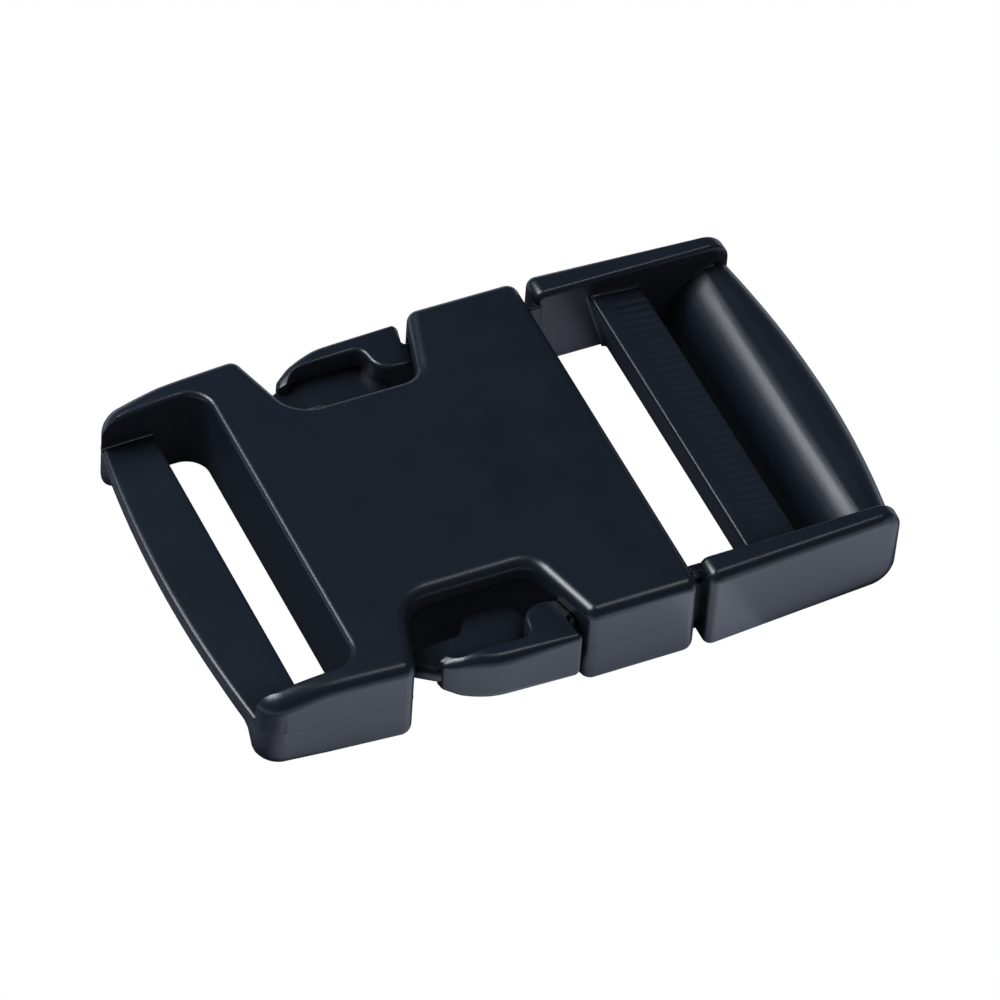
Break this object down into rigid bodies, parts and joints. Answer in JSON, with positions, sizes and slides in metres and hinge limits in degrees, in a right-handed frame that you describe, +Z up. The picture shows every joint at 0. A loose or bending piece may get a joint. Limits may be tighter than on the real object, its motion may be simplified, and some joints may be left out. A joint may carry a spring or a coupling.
{
  "type": "side release buckle",
  "caption": "Side-release strap buckle: flat socket with a fixed strap loop, and a plug with squeeze latch arms and a ladder strap adjuster.",
  "frame": {"origin": "middle of the closed buckle's length and width, on the plane that it rests on", "axes": "+X along the strap from the socket towards the plug's ladder end, +Y across the buckle, +Z up out of the top face"},
  "size_m": [0.0724, 0.0458, 0.0102],
  "materials": {
    "navy_black_acetal": "satin injection-moulded acetal with a fine spark-eroded grain"
  },
  "bodies": {
    "socket": {"socket_body": "navy_black_acetal"},
    "plug": {"plug_frame": "navy_black_acetal"},
    "arm_left": {"latch_arm_left": "navy_black_acetal"},
    "arm_right": {"latch_arm_right": "navy_black_acetal"}
  },
  "joints": [
    {"name": "plug_withdraw", "type": "slide", "parent": "socket", "child": "plug", "axis": [1, 0, 0], "range_m": [0, 0.034], "deforming": ["latch_arm_left", "latch_arm_right"]},
    {"name": "left_arm_squeeze", "type": "hinge", "parent": "plug", "child": "arm_left", "pos_m": [0.00893, 0.0189, 0.0051], "axis": [0, 0, 1], "range_deg": [0, 12.5], "stiffness_Nm_per_rad": 0.02},
    {"name": "right_arm_squeeze", "type": "hinge", "parent": "plug", "child": "arm_right", "pos_m": [0.00893, -0.0189, 0.0051], "axis": [0, 0, -1], "range_deg": [0, 12.5], "stiffness_Nm_per_rad": 0.02}
  ]
}
